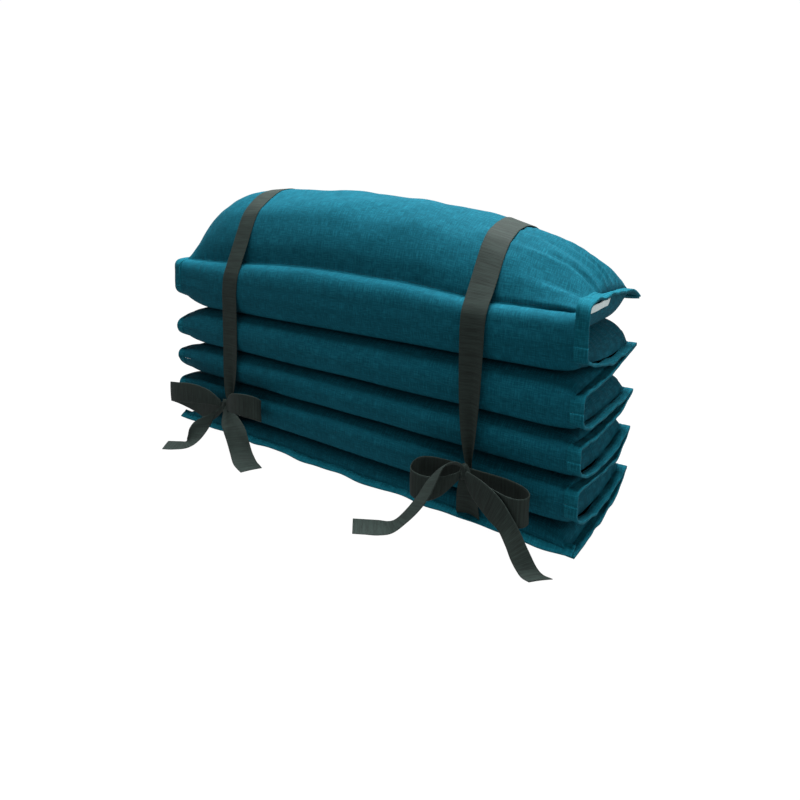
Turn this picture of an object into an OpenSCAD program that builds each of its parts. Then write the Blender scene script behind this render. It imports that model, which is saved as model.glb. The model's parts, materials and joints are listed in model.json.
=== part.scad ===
// Fold-up futon mattress: eight flat pads and a thick pillow pad, sewn end to end and
// folded back and forth into a stack, tied with two ribbons.
// Frame: +X along the width of the mattress, -Y towards the bows, +Z up.
// The origin is on the floor under the middle of the lowest pad.

/* [Mattress] */
// Width of the mattress, over the side hems
mattress_w = 650; // [560:5:800]
// Length of one folded pad, from the front folds to the back folds
fold_depth = 195; // [170:1:240]
// Thickness of the two lowest pads
lower_pad_t = 30; // [22:1:45]
// Thickness of the third and fourth pads
middle_pad_t = 23; // [20:1:40]
// Thickness of the fifth and sixth pads
fifth_pad_t = 25; // [20:1:40]
// Thickness of the two upper pads
upper_pad_t = 33; // [24:1:45]
// Thickness of the quilted cover cloth
cover_t = 1.2; // [0.8:0.1:2]
// Radius of the outer corner of a pad where it folds
fold_r = 19; // [12:0.5:20]
// Radius under the free front edge of the lowest pad
foot_under_r = 9; // [6:0.5:10]

/* [Pillow] */
// Height of the pillow's crown above its underside
pillow_h = 148; // [120:1:180]
// How far the crown's sides stand back from the folds
crown_inset = 7.5; // [4:0.5:12]
// Radius of the long curve along the top of the pillow
crown_long_r = 1100; // [900:10:2000]
// How far the highest point lies left of the middle
crown_shift = 90; // [0:1:100]
// Radius of the pillow's left end, seen from the front
left_end_r = 98; // [80:1:110]
// Radius of the pillow's right end, seen from the front
right_end_r = 64; // [50:1:80]
// Radius of the rounded front edge below the crease
pillow_lip_r = 27; // [20:1:34]
// Height of the front edge, from the underside to the crease
pillow_lip_h = 40; // [32:1:50]
// Height of the side hems above the underside
pillow_hem_rise = 34; // [26:1:40]

/* [Hems and seams] */
// Width of the flat hem down each side
side_hem_w = 14; // [8:1:22]
// Thickness of every flat hem
hem_t = 3; // [2:0.5:4]
// Width of the hems across the two free ends
end_hem_w = 9; // [6:1:14]
// Length over which a pad tapers down to its side hem
taper_l = 46; // [35:1:60]
// Radius of the corded seam that each fold turns on
seam_r = 1.2; // [0.8:0.1:1.6]
// Radius of the stitched crease along the pillow
crease_r = 1; // [0.6:0.1:1.4]

/* [Ribbons] */
// Width of the ribbons
ribbon_w = 31; // [20:1:40]
// Thickness of the ribbons
ribbon_t = 0.8; // [0.5:0.1:1.2]
// Distance of the left ribbon from the middle
left_ribbon_x = 195; // [120:1:230]
// Distance of the right ribbon from the middle
right_ribbon_x = 203; // [120:1:230]
// Height of the left knot
left_knot_z = 58; // [45:1:90]
// Height of the right knot
right_knot_z = 72; // [45:1:90]
// Width of a knot
knot_w = 30; // [20:1:36]
// Depth of a knot
knot_d = 17; // [12:1:24]
// Height of a knot
knot_h = 24; // [16:1:30]
// Width of the bows' tails
tail_w = 26; // [14:1:32]

/* [Label] */
// Length of the blank care label
label_l = 78; // [40:1:90]
// Height of the care label
label_h = 11; // [8:1:20]

/* [Clearances] */
// Gap between pads that lie on each other
pad_gap = 0.3; // [0.2:0.05:0.6]
// Gap around a fold's corded seam
seam_gap = 0.3; // [0.2:0.05:0.6]
// Gap between a cover and its filling
filling_gap = 0.3; // [0.2:0.05:0.6]
// Gap between a ribbon and what it goes round
ribbon_gap = 0.4; // [0.3:0.05:1]
// Height of a ribbon's run above the floor, in its channel
floor_gap = 0.2; // [0.1:0.05:0.5]

/* [Hidden] */

$fn = 64;
cover_colour = "#0f5f73";
hem_colour = "#16687c";
filling_colour = "#efe6d2";
ribbon_colour = "#2f3f40";

PADS = 8;
// Thickness of each pad, from the floor up
pad_t = [for (i = [1:PADS]) [lower_pad_t, middle_pad_t, fifth_pad_t, upper_pad_t][ceil(i / 2) - 1]];
// Height of the underside of pad i, where i runs from 1 to 9 and 9 is the pillow
function pad_z(i) = i <= 1 ? 0 : pad_z(i - 1) + pad_t[i - 2];
pillow_z = pad_z(PADS + 1);
half_d = fold_depth / 2;
// Where the pads' tapered ends stop and the side hems begin
pad_end_x = mattress_w / 2 - side_hem_w;
far = 2 * mattress_w;
crease_end_x = pad_end_x - 30;
wall_gap = cover_t + filling_gap;
stack_gap = pad_gap / 2;
channel_h = floor_gap + ribbon_t + ribbon_gap;
channel_w = ribbon_w + 4;

// Which end of pad i, front (-1) or back (+1), carries the fold to pad i + 1
function upper_fold_side(i) = i % 2 == 1 ? 1 : -1;

// ---- Flat pads ----

// Outline of pad i from the side, drawn in, or out where inset is negative
module pad_side_outline(i, inset) {
    z0 = pad_z(i) + (i == 1 ? 0 : stack_gap) + inset;
    z1 = pad_z(i + 1) - stack_gap - inset;
    y1 = half_d - stack_gap - inset;
    r = fold_r - inset;
    side = upper_fold_side(i);
    // The lowest pad stops short of the front to leave room for the foot hem
    short = i == 1 ? end_hem_w : 0;
    difference() {
        translate([short - y1, z0]) square([2 * y1 - short, z1 - z0]);
        // The corner above the lower fold, on the far side from the upper fold
        rounding_cut(-side * y1 + short, z1, -side, 1, r);
        // The corner below the upper fold
        rounding_cut(side * y1, z0, side, -1, r);
        // The lowest pad's free front edge is rounded below as well
        if (i == 1) rounding_cut(short - y1, z0, -1, -1, foot_under_r);
    }
}

// What is cut from a square corner at (y, z) to leave a radius r; sy and sz point outwards
module rounding_cut(y, z, sy, sz, r) {
    difference() {
        translate([y - (sy > 0 ? r : 1), z - (sz > 0 ? r : 1)]) square([r + 1, r + 1]);
        translate([y - sy * r, z - sz * r]) circle(r = r);
    }
}

// Outline of pad i from the front: flat, with each end tapered by two arcs to its mid height
module pad_front_outline(i, inset) {
    z0 = pad_z(i) + (i == 1 ? 0 : stack_gap);
    z1 = pad_z(i + 1) - stack_gap;
    h = (z1 - z0) / 2;
    arc_r = (taper_l * taper_l + h * h) / (2 * h);
    flat_x = pad_end_x + tip_extra(arc_r) - taper_l;
    translate([-flat_x, z0 + inset]) square([2 * flat_x, z1 - z0 - 2 * inset]);
    for (s = [-1, 1])
        intersection() {
            translate([s * flat_x, z1 - arc_r]) circle(r = arc_r - inset, $fn = 128);
            translate([s * flat_x, z0 + arc_r]) circle(r = arc_r - inset, $fn = 128);
            translate([s > 0 ? 0 : inset - pad_end_x, z0 - 1]) square([pad_end_x - inset, z1 - z0 + 2]);
        }
}

// How far past the hem line the two arcs would meet, so that they are hem_t apart on it
function tip_extra(arc_r) = hem_t / 2 * arc_r / taper_l * 0.5;

// Whole body of pad i, drawn in by inset
module pad_body(i, inset) {
    intersection() {
        along_x() pad_side_outline(i, inset);
        along_y() pad_front_outline(i, inset);
    }
}

// Stands a (y, z) outline up and draws it out along X
module along_x(length = far) {
    rotate([90, 0, 90]) linear_extrude(length, center = true) children();
}

// Stands an (x, z) outline up and draws it out along Y
module along_y(length = far) {
    rotate([90, 0, 0]) linear_extrude(length, center = true) children();
}

// Round bars along every fold line that pad i meets
module seam_bars(i, r) {
    if (i > 1) fold_bar(i - 1, r, far);
    if (i <= PADS) fold_bar(i, r, far);
}

// One bar along fold n, between pads n and n + 1
module fold_bar(n, r, length) {
    translate([0, upper_fold_side(n) * half_d, pad_z(n + 1)])
        rotate([0, 90, 0]) cylinder(h = length, r = r, center = true);
}

// Channels under the lowest pad that the ribbons run through
module ribbon_channels(extra) {
    for (x = [-left_ribbon_x, right_ribbon_x])
        translate([x - channel_w / 2 - extra, -fold_depth, -1])
            cube([channel_w + 2 * extra, 2 * fold_depth, channel_h + 1 + extra]);
}

// Hollow cover of pad i
module pad_cover(i) {
    color(cover_colour) difference() {
        pad_body(i, 0);
        seam_bars(i, seam_r + seam_gap);
        if (i == 1) ribbon_channels(0);
        difference() {
            pad_body(i, cover_t);
            seam_bars(i, seam_r + seam_gap + cover_t);
            if (i == 1) ribbon_channels(cover_t);
        }
    }
}

// Cotton filling of pad i
module pad_filling(i) {
    color(filling_colour) difference() {
        pad_body(i, wall_gap);
        seam_bars(i, seam_r + seam_gap + wall_gap);
        if (i == 1) ribbon_channels(wall_gap);
    }
}

// Flat strip of thickness t along a list of points, mitred where it bends
module strip_outline(points, t) {
    last = len(points) - 1;
    polygon(concat(
        [for (k = [0:last]) points[k] + strip_mitre(points, k) * t / 2],
        [for (k = [last:-1:0]) points[k] - strip_mitre(points, k) * t / 2]));
}

// Unit normal of the stretch of a route that starts at point k
function stretch_normal(points, k) =
    let (d = points[k + 1] - points[k]) [-d[1], d[0]] / norm(d);

// Direction and reach of the mitre at point k of a route
function strip_mitre(points, k) =
    let (
        last = len(points) - 1,
        before = stretch_normal(points, k == 0 ? 0 : k - 1),
        after = stretch_normal(points, k == last ? last - 1 : k)
    )
    (before + after) / (1 + before * after);

// Route of pad i's side hem, from its lower fold to its upper fold
function hem_route(i) =
    let (
        side = upper_fold_side(i),
        edge = half_d - stack_gap - hem_t / 2,
        low = pad_z(i) + stack_gap + hem_t / 2,
        high = pad_z(i + 1) - stack_gap - hem_t / 2,
        mid = (low + high) / 2,
        slant = 30
    )
    side > 0
        ? [if (i > 1) [-edge, low], [-edge, mid], [edge - slant, mid], [edge, high]]
        : [[edge, low], [edge - slant, mid], [-edge, mid], [-edge, high]];

module pad_side_hems(i) {
    color(hem_colour) difference() {
        for (s = [-1, 1])
            translate([s * (mattress_w / 2 - side_hem_w / 2), 0, 0])
                along_x(side_hem_w) strip_outline(hem_route(i), hem_t);
        seam_bars(i, seam_r + seam_gap);
    }
}

module fold_seam(n) {
    color(hem_colour) fold_bar(n, seam_r, mattress_w);
}

// Folded end hem across the foot of the mattress
module foot_hem() {
    color(hem_colour) difference() {
        translate([-pad_end_x, -half_d + stack_gap, foot_under_r - hem_t / 2])
            cube([2 * pad_end_x, half_d, hem_t]);
        pad_body(1, 0);
    }
}

// ---- Pillow ----

crown_r = half_d - crown_inset;
crown_c_z = pillow_h - crown_r;
lip_c_y = -half_d + stack_gap + pillow_lip_r;
lip_c_z = pillow_lip_h - pillow_lip_r;
// Where the lip's arc and the crown's arc meet, from their centres' distance and bearing
lip_to_crown = [-lip_c_y, crown_c_z - lip_c_z];
lip_crown_d = norm(lip_to_crown);
lip_crown_along = (lip_crown_d * lip_crown_d + pillow_lip_r * pillow_lip_r - crown_r * crown_r)
    / (2 * lip_crown_d);
lip_crown_off = sqrt(pillow_lip_r * pillow_lip_r - lip_crown_along * lip_crown_along);
lip_crown_u = lip_to_crown / lip_crown_d;
crease_y = lip_c_y + lip_crown_along * lip_crown_u[0] - lip_crown_off * lip_crown_u[1];
crease_z = pillow_z + lip_c_z + lip_crown_along * lip_crown_u[1] + lip_crown_off * lip_crown_u[0];
pillow_hem_z = pillow_z + pillow_hem_rise;
pillow_hem_front_z = pillow_z + pillow_lip_h;
pillow_hem_back_z = pillow_hem_z - 6;

// Outline of the pillow from the side: a crown, and a lip in front of it below the crease
module pillow_side_outline(inset) {
    y0 = -half_d + stack_gap;
    z0 = pillow_z + stack_gap + inset;
    intersection() {
        union() {
            translate([0, pillow_z + crown_c_z]) circle(r = crown_r - inset, $fn = 128);
            translate([lip_c_y, pillow_z + lip_c_z]) circle(r = pillow_lip_r - inset);
            translate([y0 + inset, z0]) square([-lip_c_y, pillow_lip_h - pillow_lip_r - stack_gap - inset]);
            translate([lip_c_y, z0]) square([-lip_c_y, pillow_lip_h - stack_gap - 2 * inset]);
        }
        translate([-far / 2, z0]) square([far, pillow_h]);
    }
}

// Outline of the pillow from the front: a long low arc that is highest left of the middle
module pillow_front_outline(inset) {
    z0 = pillow_z + stack_gap;
    under_r = (taper_l * taper_l + pillow_hem_rise * pillow_hem_rise) / (2 * pillow_hem_rise);
    left_c = [-(pad_end_x - left_end_r), pillow_hem_z + 4];
    right_c = [pad_end_x - right_end_r, pillow_hem_z - 2];
    intersection() {
        translate([-crown_shift, pillow_z + pillow_h - crown_long_r])
            circle(r = crown_long_r - inset, $fn = 360);
        union() {
            translate([left_c[0], z0 + inset]) square([right_c[0] - left_c[0], 2 * pillow_h]);
            intersection() {
                translate(left_c) circle(r = left_end_r - inset, $fn = 128);
                translate([-(pad_end_x - under_r), z0 + under_r]) circle(r = under_r - inset, $fn = 128);
            }
            intersection() {
                translate(right_c) circle(r = right_end_r - inset, $fn = 128);
                translate([pad_end_x - under_r, z0 + under_r]) circle(r = under_r - inset, $fn = 128);
            }
            intersection() {
                translate(left_c) circle(r = left_end_r - inset, $fn = 128);
                translate([-(pad_end_x - under_r), z0 + inset]) square([under_r, 2 * pillow_h]);
            }
            intersection() {
                translate(right_c) circle(r = right_end_r - inset, $fn = 128);
                translate([0, z0 + inset]) square([pad_end_x - under_r, 2 * pillow_h]);
            }
            intersection() {
                translate([-(pad_end_x - inset), pillow_hem_z]) square([left_end_r, left_end_r]);
                translate(left_c) circle(r = left_end_r - inset, $fn = 128);
            }
        }
        translate([-(pad_end_x - inset), z0]) square([2 * (pad_end_x - inset), 2 * pillow_h]);
    }
}

module pillow_body(inset) {
    intersection() {
        along_x() pillow_side_outline(inset);
        along_y() pillow_front_outline(inset);
    }
}

module crease_bar(r, length) {
    translate([0, crease_y, crease_z]) rotate([0, 90, 0]) cylinder(h = length, r = r, center = true);
}

module pillow_cover() {
    color(cover_colour) difference() {
        pillow_body(0);
        seam_bars(PADS + 1, seam_r + seam_gap);
        crease_bar(crease_r + seam_gap, far);
        difference() {
            pillow_body(cover_t);
            seam_bars(PADS + 1, seam_r + seam_gap + cover_t);
            crease_bar(crease_r + seam_gap + cover_t, far);
        }
    }
}

module pillow_filling() {
    color(filling_colour) difference() {
        pillow_body(wall_gap);
        seam_bars(PADS + 1, seam_r + seam_gap + wall_gap);
        crease_bar(crease_r + seam_gap + wall_gap, far);
    }
}

module pillow_side_hems() {
    edge = half_d - stack_gap - hem_t / 2;
    route = [[-edge, pillow_z + stack_gap + hem_t / 2], [-edge, pillow_hem_front_z], [edge, pillow_hem_back_z]];
    color(hem_colour) difference() {
        for (s = [-1, 1])
            translate([s * (mattress_w / 2 - side_hem_w / 2), 0, 0])
                along_x(side_hem_w) strip_outline(route, hem_t);
        seam_bars(PADS + 1, seam_r + seam_gap);
    }
}

// Folded end hem across the head of the mattress, at the back of the pillow
module pillow_head_hem() {
    color(hem_colour) difference() {
        translate([-pad_end_x, 0, pillow_hem_back_z - hem_t / 2])
            cube([2 * pad_end_x, half_d - stack_gap, hem_t]);
        pillow_body(0);
    }
}

module pillow_crease_cord() {
    color(hem_colour) crease_bar(crease_r, 2 * crease_end_x);
}

// Blank label under the pillow's right side hem
module care_label() {
    slope = atan2(pillow_hem_back_z - pillow_hem_front_z, fold_depth - hem_t);
    color("white") translate([pad_end_x + side_hem_w / 2, -half_d + 14, pillow_hem_front_z])
        rotate([slope, 0, 0]) translate([0, 0, -hem_t / 2 - 1 - label_h]) cube([0.6, label_l, label_h]);
}

// ---- Ribbons ----

ribbon_front_y = -half_d - seam_r - ribbon_gap;

// Height of the pillow under the edge of the band that is nearer the highest point
function band_top_z(x) =
    let (from_peak = max(0, abs(x + crown_shift) - ribbon_w / 2))
    pillow_z + pillow_h - crown_long_r + sqrt(crown_long_r * crown_long_r - from_peak * from_peak);

// Outline that a band follows round the stack, grown by out; top is the pillow's height there
module band_outline(top, out) {
    hull() {
        translate([ribbon_front_y - out, floor_gap + ribbon_t - out])
            square([-2 * ribbon_front_y + 2 * out, 1]);
        translate([ribbon_front_y - out, pillow_z]) square([-2 * ribbon_front_y + 2 * out, 1]);
        // Over the head hem at the back
        translate([0, pillow_hem_back_z]) square([out - ribbon_front_y, hem_t / 2 + ribbon_gap]);
        // Over the lip at the front
        translate([ribbon_front_y - out, pillow_z + lip_c_z]) square([1, 1]);
        intersection() {
            translate([0, pillow_z + crown_c_z]) circle(r = crown_r + ribbon_gap + out);
            translate([-half_d, pillow_z]) square([fold_depth, top + ribbon_gap + out - pillow_z]);
        }
    }
}

module ribbon_band(x) {
    top = band_top_z(x);
    color(ribbon_colour) translate([x, 0, 0]) along_x(ribbon_w) difference() {
        band_outline(top, ribbon_t);
        band_outline(top, 0);
    }
}

band_face_y = ribbon_front_y - ribbon_t;
knot_y = band_face_y - knot_d / 2;

module bow_knot(x, z) {
    color(ribbon_colour) translate([x, knot_y, z]) intersection() {
        cube([knot_w, knot_d, knot_h], center = true);
        sphere(d = knot_w);
    }
}

// One loop of a bow: a flattened ring of ribbon on edge, reach long from the knot
module bow_loop(x, z, side, reach, depth, swing) {
    r = depth / 2;
    color(ribbon_colour) translate([x, band_face_y - ribbon_gap - r, z]) rotate([0, 0, swing]) mirror([side < 0 ? 1 : 0, 0, 0])
        linear_extrude(ribbon_w, center = true) difference() {
            loop_outline(reach, r);
            loop_outline(reach - ribbon_t, r - ribbon_t);
        }
}

module loop_outline(reach, r) {
    translate([reach - r, 0]) circle(r = r);
    translate([knot_w / 3, -r]) square([reach - r - knot_w / 3, 2 * r]);
}

// One tail of a bow: a strip that falls from the knot to the floor along (distance, height) points
module bow_tail(x, turn, points) {
    color(ribbon_colour) translate([x, knot_y, 0]) rotate([0, 0, turn])
        rotate([90, 0, 0]) linear_extrude(tail_w, center = true) strip_outline(points, ribbon_t);
}

tail_z = floor_gap + ribbon_t / 2;
left_outer_tail_route = [[4, 54], [18, 44], [32, 22], [44, 6], [50, tail_z], [72, tail_z]];
left_inner_tail_route = [[6, 54], [30, 46], [70, 26], [104, 6], [112, tail_z]];
right_inner_tail_route = [[4, 74], [14, 88], [30, 84], [56, 44], [76, 12], [88, tail_z], [126, tail_z]];
right_outer_tail_route = [[6, 68], [30, 58], [66, 34], [96, 8], [106, tail_z]];

pad_cover(1);  // panel_1_cover
pad_cover(2);  // panel_2_cover
pad_cover(3);  // panel_3_cover
pad_cover(4);  // panel_4_cover
pad_cover(5);  // panel_5_cover
pad_cover(6);  // panel_6_cover
pad_cover(7);  // panel_7_cover
pad_cover(8);  // panel_8_cover
pad_filling(1);  // panel_1_filling
pad_filling(2);  // panel_2_filling
pad_filling(3);  // panel_3_filling
pad_filling(4);  // panel_4_filling
pad_filling(5);  // panel_5_filling
pad_filling(6);  // panel_6_filling
pad_filling(7);  // panel_7_filling
pad_filling(8);  // panel_8_filling
pad_side_hems(1);  // panel_1_side_hems
pad_side_hems(2);  // panel_2_side_hems
pad_side_hems(3);  // panel_3_side_hems
pad_side_hems(4);  // panel_4_side_hems
pad_side_hems(5);  // panel_5_side_hems
pad_side_hems(6);  // panel_6_side_hems
pad_side_hems(7);  // panel_7_side_hems
pad_side_hems(8);  // panel_8_side_hems
pillow_cover();
pillow_filling();
pillow_side_hems();
pillow_head_hem();
pillow_crease_cord();
foot_hem();
care_label();
fold_seam(1);  // fold_seam_1
fold_seam(2);  // fold_seam_2
fold_seam(3);  // fold_seam_3
fold_seam(4);  // fold_seam_4
fold_seam(5);  // fold_seam_5
fold_seam(6);  // fold_seam_6
fold_seam(7);  // fold_seam_7
fold_seam(8);  // fold_seam_8
ribbon_band(-left_ribbon_x);  // left_ribbon_band
bow_knot(-left_ribbon_x, left_knot_z);  // left_bow_knot
bow_loop(-left_ribbon_x, left_knot_z + 8, -1, 96, 26, 8);  // left_bow_outer_loop
bow_loop(-left_ribbon_x, left_knot_z + 6, 1, 86, 30, -6);  // left_bow_inner_loop
bow_tail(-left_ribbon_x - 6, -110, left_outer_tail_route);  // left_bow_outer_tail
bow_tail(-left_ribbon_x + 4, -17, left_inner_tail_route);  // left_bow_inner_tail
ribbon_band(right_ribbon_x);  // right_ribbon_band
bow_knot(right_ribbon_x, right_knot_z);  // right_bow_knot
bow_loop(right_ribbon_x, right_knot_z - 10, 1, 88, 30, -8);  // right_bow_outer_loop
bow_loop(right_ribbon_x, right_knot_z - 12, -1, 62, 28, 8);  // right_bow_inner_loop
bow_tail(right_ribbon_x + 4, -14, right_outer_tail_route);  // right_bow_outer_tail
bow_tail(right_ribbon_x - 4, -142, right_inner_tail_route);  // right_bow_inner_tail
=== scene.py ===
"""A fold-up futon mattress, folded into a stack and tied with two ribbon bows.

Eight flat pads and a thick pillow pad are sewn end to end. Each pad is a stuffed
cotton cover with a flat topstitched hem down both sides. Lengths are in metres,
+X runs along the mattress's width, -Y towards the bows and +Z up.
"""

import json
import logging
import math
from dataclasses import dataclass, field
from enum import Enum
from functools import cache

import bmesh
import bpy
import numpy as np
from mathutils import Matrix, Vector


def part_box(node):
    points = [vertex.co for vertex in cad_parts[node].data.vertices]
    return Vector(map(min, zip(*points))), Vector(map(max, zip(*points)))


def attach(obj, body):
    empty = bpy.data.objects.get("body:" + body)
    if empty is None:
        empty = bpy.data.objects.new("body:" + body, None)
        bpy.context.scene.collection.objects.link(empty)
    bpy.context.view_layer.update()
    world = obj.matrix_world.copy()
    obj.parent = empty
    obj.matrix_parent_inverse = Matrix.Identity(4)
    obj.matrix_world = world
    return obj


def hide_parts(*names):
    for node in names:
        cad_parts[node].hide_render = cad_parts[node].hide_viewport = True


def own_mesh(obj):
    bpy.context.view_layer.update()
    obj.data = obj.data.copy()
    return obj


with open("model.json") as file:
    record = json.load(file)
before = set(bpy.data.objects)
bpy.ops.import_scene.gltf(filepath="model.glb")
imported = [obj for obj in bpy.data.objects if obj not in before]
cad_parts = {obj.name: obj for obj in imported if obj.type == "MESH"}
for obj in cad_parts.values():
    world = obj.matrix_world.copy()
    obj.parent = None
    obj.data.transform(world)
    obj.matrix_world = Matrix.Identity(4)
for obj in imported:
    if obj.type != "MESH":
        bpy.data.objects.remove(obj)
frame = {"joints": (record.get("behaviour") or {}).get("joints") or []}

log = logging.getLogger("futon")
MM = 0.001
TAU = 2 * math.pi


# ---- Shape helpers ----


def unit(rows: np.ndarray) -> np.ndarray:
    """Each row divided by its length."""
    return rows / np.linalg.norm(rows, axis=1)[:, None]


def run_length(path: np.ndarray) -> float:
    """The length of a polyline, the sum of its steps."""
    return float(np.linalg.norm(np.diff(path, axis=0), axis=1).sum())


def read_off(at: np.ndarray, along: np.ndarray, rows: np.ndarray) -> np.ndarray:
    """Rows read off by straight interpolation.

    Args:
        at: Where to read, in the measure of along.
        along: Where each given row stands, rising.
        rows: The given rows.

    Returns:
        One row for each value of at.
    """
    return np.stack([np.interp(at, along, column) for column in rows.T], axis=1)


def spaced(points: np.ndarray, count: int) -> np.ndarray:
    """Points evenly spaced by arc length along a polyline.

    Args:
        points: The polyline's points, one per row.
        count: How many points to return.

    Returns:
        An array of count rows.
    """
    steps = np.linalg.norm(np.diff(points, axis=0), axis=1)
    along = np.concatenate([[0.0], np.cumsum(steps)])
    return read_off(np.linspace(0, along[-1], count), along, points)


def averaged(rows: np.ndarray, reach: int) -> np.ndarray:
    """Each column's moving average over reach rows to both sides."""
    window = np.ones(2 * reach + 1) / (2 * reach + 1)
    return np.stack([np.convolve(column, window, mode="valid") for column in rows.T], axis=1)


def softened(points: np.ndarray, radius: float) -> np.ndarray:
    """Rounds the bends of an open route by a moving average that keeps its ends.

    Args:
        points: The route's points.
        radius: About the radius that a bend is given.

    Returns:
        The rounded route, a point every millimetre.
    """
    route = spaced(points, max(8, int(run_length(points) / MM)))
    reach = max(1, int(radius / MM))
    first = 2 * route[0] - route[reach:0:-1]
    last = 2 * route[-1] - route[-2:-reach - 2:-1]
    return averaged(np.concatenate([first, route, last]), reach)


def smooth_path(nodes: np.ndarray, count: int) -> np.ndarray:
    """A Catmull-Rom curve through rows of values.

    Each stretch is the cubic whose slope at a node is half the step between
    that node's neighbours.

    Args:
        nodes: The values to pass through, one node per row.
        count: How many rows to return.

    Returns:
        An array of count rows, even in the node parameter.
    """
    ends = np.concatenate([[2 * nodes[0] - nodes[1]], nodes, [2 * nodes[-1] - nodes[-2]]])
    at = np.linspace(0, len(nodes) - 1, count)
    k = np.minimum(at.astype(int), len(nodes) - 2)
    t = (at - k)[:, None]
    a, b, c, d = ends[k], ends[k + 1], ends[k + 2], ends[k + 3]
    return 0.5 * (2 * b + (c - a) * t + (2 * a - 5 * b + 4 * c - d) * t**2
                  + (3 * b - a - 3 * c + d) * t**3)


def rounded_corner(start: tuple, end: tuple, power: float, count: int) -> np.ndarray:
    """A quarter superellipse that leaves start upright and meets end level.

    Args:
        start: (y, z) where the curve is upright.
        end: (y, z) where the curve is level.
        power: The superellipse's power; 2 is an ellipse and more is squarer.
        count: How many points to return.

    Returns:
        The curve's (y, z) points.
    """
    # Close points at the start keep the shading flat up to the seam
    turn = np.linspace(0, 1, count) ** 2 * math.pi / 2
    across = 1 - np.cos(turn) ** (2 / power)
    up = np.sin(turn) ** (2 / power)
    return np.stack([start[0] + (end[0] - start[0]) * across,
                     start[1] + (end[1] - start[1]) * up], axis=1)


def swell(distance: np.ndarray, reach: float, power: float = 2.0) -> np.ndarray:
    """How far a stuffed cover has filled out, from 0 at its hem to 1.

    Args:
        distance: The distance from the hem.
        reach: The distance over which the cover fills out.
        power: The power of the quarter superellipse that the rise follows.

    Returns:
        The share at each place.
    """
    left = 1 - np.clip(distance / reach, 0, 1)
    return (1 - left**power) ** (1 / power)


def ripple(u: np.ndarray, v: np.ndarray | float, length: float, seed: int) -> np.ndarray:
    """Smooth noise of about unit height: a sum of sine waves in random directions.

    Args:
        u: First coordinate.
        v: Second coordinate, or one value for all.
        length: The mean wavelength.
        seed: Chooses the directions and phases.

    Returns:
        The noise at each point.
    """
    waves = 9
    rng = np.random.default_rng(seed)
    turn = rng.uniform(0, TAU, waves)
    phase = rng.uniform(0, TAU, waves)
    rate = TAU / (length * rng.uniform(0.7, 1.6, waves))
    second = np.asarray(v)[..., None]
    angle = (rate * np.cos(turn)) * u[..., None] + (rate * np.sin(turn)) * second
    return np.sin(angle + phase).sum(-1) / math.sqrt(waves)


# ---- Meshes ----

# Places across a band, from its inner to its outer edge, closest beside the stitch line
BAND_PLACES = np.array([-1, -0.97, -0.85, -0.65, -0.52, -0.42, -0.32, 0, 0.3, 0.6, 0.85, 0.97, 1])
STITCH_PLACE = -0.42
STITCH_SPREAD = 0.09
THREAD_SIDES = 6


def linked(name: str, data: bpy.types.ID) -> bpy.types.Object:
    """A new object with this data, linked to the scene.

    Args:
        name: The object's name.
        data: Its mesh, lamp or camera.

    Returns:
        The new object.
    """
    made = bpy.data.objects.new(name, data)
    bpy.context.scene.collection.objects.link(made)
    return made


def shell(name: str, points: np.ndarray, across: np.ndarray | None = None,
          along: np.ndarray | None = None) -> bpy.types.Object:
    """A closed tube from rings of points, with each end zipped shut.

    Point j of a ring faces point -j, so that an end is closed by quads between
    the two halves. The UV map is in metres: u along the tube, v round it.

    Args:
        name: The piece's name.
        points: An array of rings by points by 3.
        across: v of each point of a ring and its closing point, or None to
            measure it round the first full ring.
        along: u of each ring, or None to measure it.

    Returns:
        The new object, linked to the scene.
    """
    rings, count, _ = points.shape
    if across is None:
        middle = points[rings // 2]
        steps = np.linalg.norm(np.roll(middle, -1, axis=0) - middle, axis=1)
        across = np.concatenate([[0.0], np.cumsum(steps)])
    if along is None:
        centres = points.mean(axis=1)
        steps = np.linalg.norm(np.diff(centres, axis=0), axis=1)
        along = np.concatenate([[0.0], np.cumsum(steps)])
    i, j = np.meshgrid(np.arange(rings - 1), np.arange(count), indexing="ij")
    k = (j + 1) % count
    faces = np.stack([i * count + j, i * count + k, (i + 1) * count + k,
                      (i + 1) * count + j], axis=-1).reshape(-1, 4)
    u = np.stack([along[i], along[i], along[i + 1], along[i + 1]], axis=-1)
    v = np.stack([across[j], across[j + 1], across[j + 1], across[j]], axis=-1)
    uv = np.stack([u, v], axis=-1).reshape(-1, 2)
    half = np.arange(count // 2)
    zip_faces = np.stack([half, half + 1, (count - half - 1) % count, (count - half) % count],
                         axis=-1)[1:-1]
    noses = np.array([[0, 1, count - 1], [count // 2 - 1, count // 2, count // 2 + 1]])
    mesh = bpy.data.meshes.new(name)
    ends = []
    for start in (0, (rings - 1) * count):
        ends += (zip_faces + start).tolist() + (noses + start).tolist()
    mesh.from_pydata(points.reshape(-1, 3), [], faces.tolist() + ends)
    loops = np.zeros((len(mesh.loops), 2), np.float32)
    loops[: len(uv)] = uv
    layer = mesh.uv_layers.new(name="cloth")
    layer.data.foreach_set("uv", loops.ravel())
    work = bmesh.new()
    work.from_mesh(mesh)
    bmesh.ops.recalc_face_normals(work, faces=work.faces)
    work.to_mesh(mesh)
    work.free()
    mesh.polygons.foreach_set("use_smooth", np.ones(len(mesh.polygons), bool))
    return linked(name, mesh)


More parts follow.
